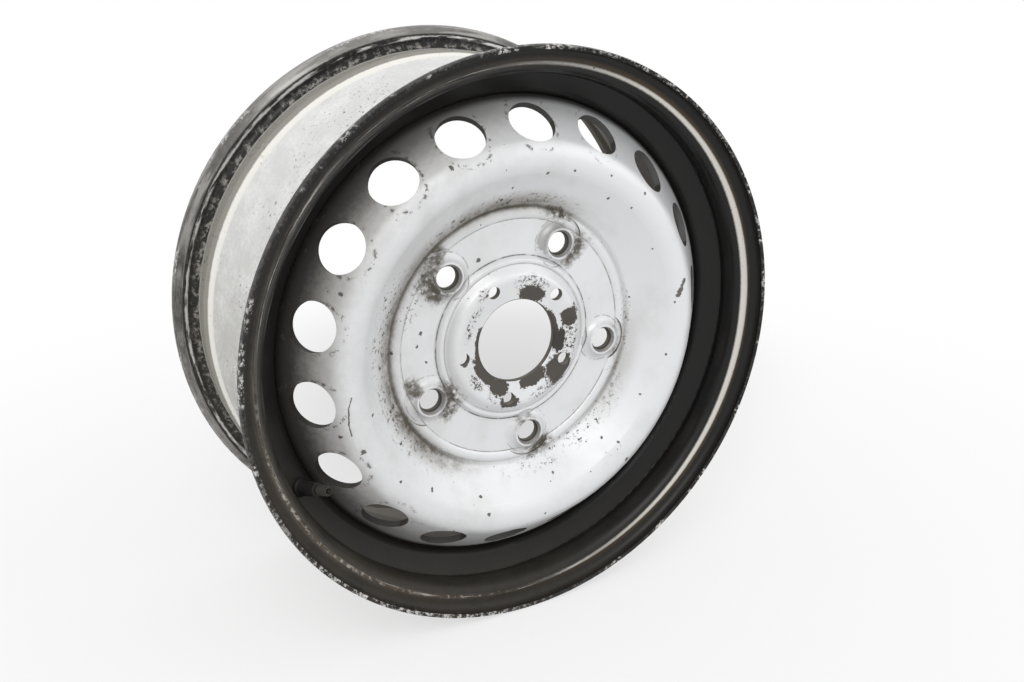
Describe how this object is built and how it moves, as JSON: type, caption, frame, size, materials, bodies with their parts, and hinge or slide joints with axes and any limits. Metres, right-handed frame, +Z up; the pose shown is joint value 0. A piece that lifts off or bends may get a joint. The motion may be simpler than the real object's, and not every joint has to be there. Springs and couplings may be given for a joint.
{
  "type": "steel wheel",
  "caption": "Pressed steel road wheel: black rolled rim with drop-centre well, worn silver disc with round vents and raised bolt seats, and a snap-in valve whose core pin can be pressed.",
  "frame": {"origin": "point on the spin axis in the plane of the disc's hub mounting face", "axes": "+Y along the wheel's spin axis towards the hub, the outboard face looks along -Y, +Z up as the wheel stands"},
  "size_m": [0.4401, 0.192, 0.4402],
  "materials": {
    "rim_paint": "semi-gloss black paint, chipped at the lips",
    "disc_paint": "satin silver paint, chipped and dirty",
    "weld_paint": "painted weld",
    "valve_rubber": "matt",
    "valve_brass": "dull",
    "core_brass": "dull",
    "core_plastic": "matt",
    "core_steel": "plain",
    "core_rubber": "matt",
    "core_spring_steel": "plain"
  },
  "bodies": {
    "wheel": {"rim": "rim_paint", "disc": "disc_paint", "weld_beads": "weld_paint", "valve_rubber": "valve_rubber", "valve_stem": "valve_brass", "core_body": "core_brass", "core_gasket": "core_plastic", "core_spring": "core_spring_steel"},
    "valve_pin": {"core_pin": "core_steel", "core_seal": "core_rubber"}
  },
  "joints": [
    {"name": "valve_pin_slide", "type": "slide", "parent": "wheel", "child": "valve_pin", "axis": [-0.423, 0.8829, -0.2036], "range_m": [0, 0.0015], "stiffness_N_per_m": 600, "springref_m": -0.001, "deforming": ["core_spring"]}
  ]
}
